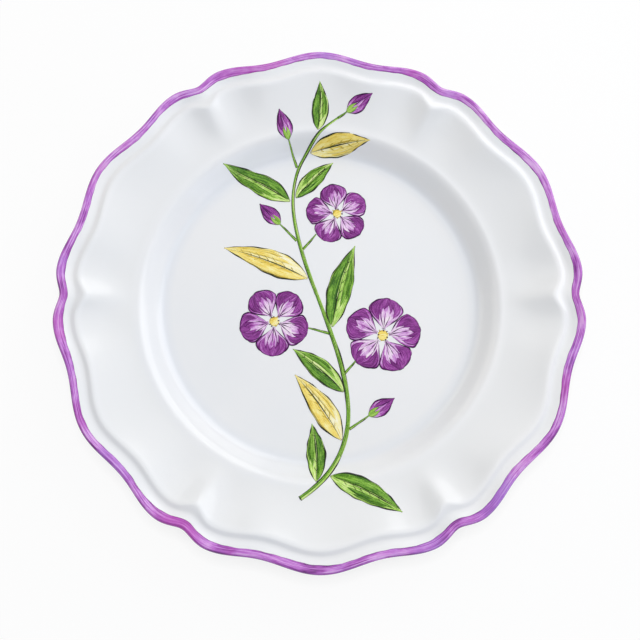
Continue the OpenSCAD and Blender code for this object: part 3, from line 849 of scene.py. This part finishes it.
for t, side, share, spread in BUDS:
    angle = stem_angle(t) + side * spread
    start = off_stem(t, side)
    if share > 0:
        back = STALK_REACH if side else TIP_REACH
        stalk(curl_path(start - back * direction(angle), angle, 0, share * BUD_LEN + back + STALK_REACH, 16))
    path = curl_path(start + (share * BUD_LEN + STROKE_GAP) * direction(angle), angle, 0, BUD_LEN)
    u = np.linspace(0, 1, len(path))
    half = uneven(BUD_W / 2 * leaf_profile(u), 0.03)
    petal_wash.lay(path, half, 0, lambda U, V: 0.16 + 0.7 * U + 0.1 * np.abs(V))
    for place, weight, first, last, tone in ((0.45, 0.3, 10, 40, 0.85), (-0.4, 0.22, 16, 40, 0.75)):
        line = beside(path, half, place)[first:last]
        v = np.linspace(0, 1, len(line))
        petal_shade.lay(line, np.maximum(0.08, BUD_W / 2 * weight * np.sin(np.pi * v ** 0.9)), 1, tone)
    ink(purple_ink, beside(path, half, 0.99), 0.5, 3, 0.12, 1.0, 0.8)
    ink(purple_ink, beside(path, half, -0.99), 0.5, 3, 0.05, 0.9, 0.8)
    ink(purple_ink, beside(path, half, 0.1), 0.4, 2, 0.25, 0.9, 0.65)
    # Two green sepals that clasp the foot of the bud
    for hand in (1, -1):
        sepal = curl_path(path[0] + 0.2 * direction(angle), angle + hand * 26, -hand * 40, BUD_LEN * 0.42, 16)
        v = np.linspace(0, 1, 17)
        leaf_shade.lay(sepal, np.maximum(0.12, 1.15 * np.sin(np.pi * v ** 0.7)), 2, 0.5, cell=0.6, sides=3)

leaf_stops = [
    (0.0, srgb(230, 240, 178)), (0.2, srgb(200, 228, 130)), (0.42, srgb(162, 206, 88)),
    (0.66, srgb(116, 168, 48)), (0.85, srgb(70, 122, 24)), (1.0, srgb(34, 78, 12))]
yellow_stops = [
    (0.0, srgb(252, 247, 218)), (0.3, srgb(248, 238, 172)), (0.55, srgb(246, 224, 116)),
    (0.8, srgb(232, 196, 74)), (1.0, srgb(170, 152, 52))]
petal_stops = [
    (0.0, srgb(242, 228, 240)), (0.22, srgb(226, 188, 230)), (0.45, srgb(194, 124, 202)),
    (0.68, srgb(158, 66, 162)), (1.0, srgb(100, 18, 104))]
green_ink_stops = [(0.0, srgb(84, 110, 50)), (0.5, srgb(44, 66, 30)), (1.0, srgb(40, 22, 34))]
purple_ink_stops = [(0.0, srgb(140, 60, 150)), (0.5, srgb(88, 14, 98)), (1.0, srgb(40, 8, 46))]

for work, name, stops, streak, slot, *nodes in (
        (leaf_wash, "leaf_wash_paint", leaf_stops, 0.5, "leaf_paint", "leaf_coat"),
        (leaf_shade, "leaf_shade_paint", leaf_stops, 0.4, "leaf_paint"),
        (petal_wash, "petal_wash_paint", petal_stops, 0.5, "petal_paint", "petal_coat"),
        (petal_shade, "petal_shade_paint", petal_stops, 0.4, "petal_paint"),
        (yellow_wash, "yellow_wash_paint", yellow_stops, 0.5, "yellow_paint", "yellow_coat"),
        (yellow_shade, "yellow_shade_paint", yellow_stops, 0.4, "yellow_paint"),
        (green_ink, "green_pen", green_ink_stops, 0.5, "leaf_paint"),
        (purple_ink, "purple_pen", purple_ink_stops, 0.5, "petal_paint")):
    work.piece(paint_material(name, stops, streak), slot, *nodes)
finish_piece(plate_piece(), glaze_material(), "white_glaze", "plate_body")
finish_piece(band_piece(), band_material(), "band_paint", "rim_band")

# Floor: white to the camera and in glosses, and wholly so far out, where it meets the backdrop. Near the
# plate it keeps a part of the lamps' shadow, and a soft shade where the plate stands close over it.
WHITE = (1, 1, 1, 1)
FLOOR_HALF = 3000
NEAR_WHITE, NEAR_R, FAR_R = 0.92, 0.2, 0.9
CONTACT_REACH, CONTACT_DARK = 0.0285, 0.35
PAPER = (0.85, 0.85, 0.86, 1)
corners = [(-1, -1, 0), (1, -1, 0), (1, 1, 0), (-1, 1, 0)]
floor = link_mesh("floor", FLOOR_HALF * np.array(corners), [(0, 1, 2, 3)])
cover = bpy.data.materials.new("floor_paper")
g = Nodes(cover)
paper = g.node("BsdfDiffuse", {"Color": PAPER}).outputs[0]
open_sky = g.node("AmbientOcclusion", {"Distance": CONTACT_REACH}, samples=16).outputs["AO"]
glow = g.node("Emission", {"Color": WHITE, "Strength": g.span(open_sky, 0, 1, CONTACT_DARK, 1)}).outputs[0]
away = g.node("VectorMath", {0: g.object_place()}, operation="LENGTH").outputs["Value"]
share = g.math("MULTIPLY", g.direct_rays(), g.span(away, NEAR_R, FAR_R, NEAR_WHITE, 1, smooth=True))
g.node("OutputMaterial", {0: g.node("MixShader", {0: share, 1: paper, 2: glow}).outputs[0]})
floor.data.materials.append(cover)

# Light: an even pale room, a wide soft lamp low at the upper right of the picture, and fainter ones that
# tint the two sides
ROOM_COLOUR, ROOM_STRENGTH = (0.98, 0.99, 1, 1), 0.474
world = bpy.data.worlds.new("room")
bpy.context.scene.world = world
g = Nodes(world)
room = g.node("Background", {"Color": ROOM_COLOUR, "Strength": ROOM_STRENGTH}).outputs[0]
seen = g.node("Background", {"Color": WHITE}).outputs[0]
g.node("OutputWorld", {0: g.node("MixShader", {0: g.direct_rays(), 1: room, 2: seen}).outputs[0]})


def lamp(name, azimuth, elevation, distance, size, power, tint=(1, 1, 1)):
    """A square area lamp that faces the plate; azimuth is turned from +X towards +Y, power is in watts"""
    data = bpy.data.lights.new(name, "AREA")
    data.color = tint
    data.shape = "SQUARE"
    data.size = size
    data.energy = power
    made = bpy.data.objects.new(name, data)
    a, e = math.radians(azimuth), math.radians(elevation)
    made.location = distance * Vector((math.cos(a) * math.cos(e), math.sin(a) * math.cos(e), math.sin(e)))
    made.rotation_mode = "QUATERNION"
    made.rotation_quaternion = made.location.to_track_quat("Z", "Y")
    bpy.context.scene.collection.objects.link(made)


lamp("key", 45, 23, 1.0, 1.1, 6.2)
lamp("top", 45, 68, 0.6, 0.8, 1.5)
lamp("cool_fill", -52, 16, 1.2, 1.0, 2.9, (0.74, 0.9, 1.22))
lamp("warm_fill", 148, 16, 1.2, 1.0, 2.4, (1.05, 1.0, 0.88))

# Camera, at the photograph's viewing angle: focal length in pixels, distance in millimetres, the way
# from the plate to the lens, the pixel on which the rim's middle falls, and a turn in radians
FRAME_PX, SENSOR = 640, 36
FOCAL_PX, DISTANCE = 786, 412.8
TILT = Vector((-0.0095, -0.223, 1)).normalized()
RIM_PX = (320.2, 294.7)
ROLL = 0.002
data = bpy.data.cameras.new("camera")
data.sensor_width = SENSOR
data.lens = SENSOR * FOCAL_PX / FRAME_PX
data.shift_x = (FRAME_PX / 2 - RIM_PX[0]) / FRAME_PX
data.shift_y = (RIM_PX[1] - FRAME_PX / 2) / FRAME_PX
data.clip_start, data.clip_end = 0.01, 20
camera = bpy.data.objects.new("camera", data)
right = Vector((0, 1, 0)).cross(TILT).normalized()
up = TILT.cross(right)
pose = Matrix((right, up, TILT)).transposed().to_4x4()
pose.translation = (Vector((0, 0, PLATE_H - LIP_T / 2)) + DISTANCE * TILT) * MM
camera.matrix_world = Matrix.Rotation(-ROLL, 4, "Z") @ pose
bpy.context.scene.collection.objects.link(camera)
bpy.context.scene.camera = camera

view = bpy.context.scene.view_settings
view.view_transform = "Standard"
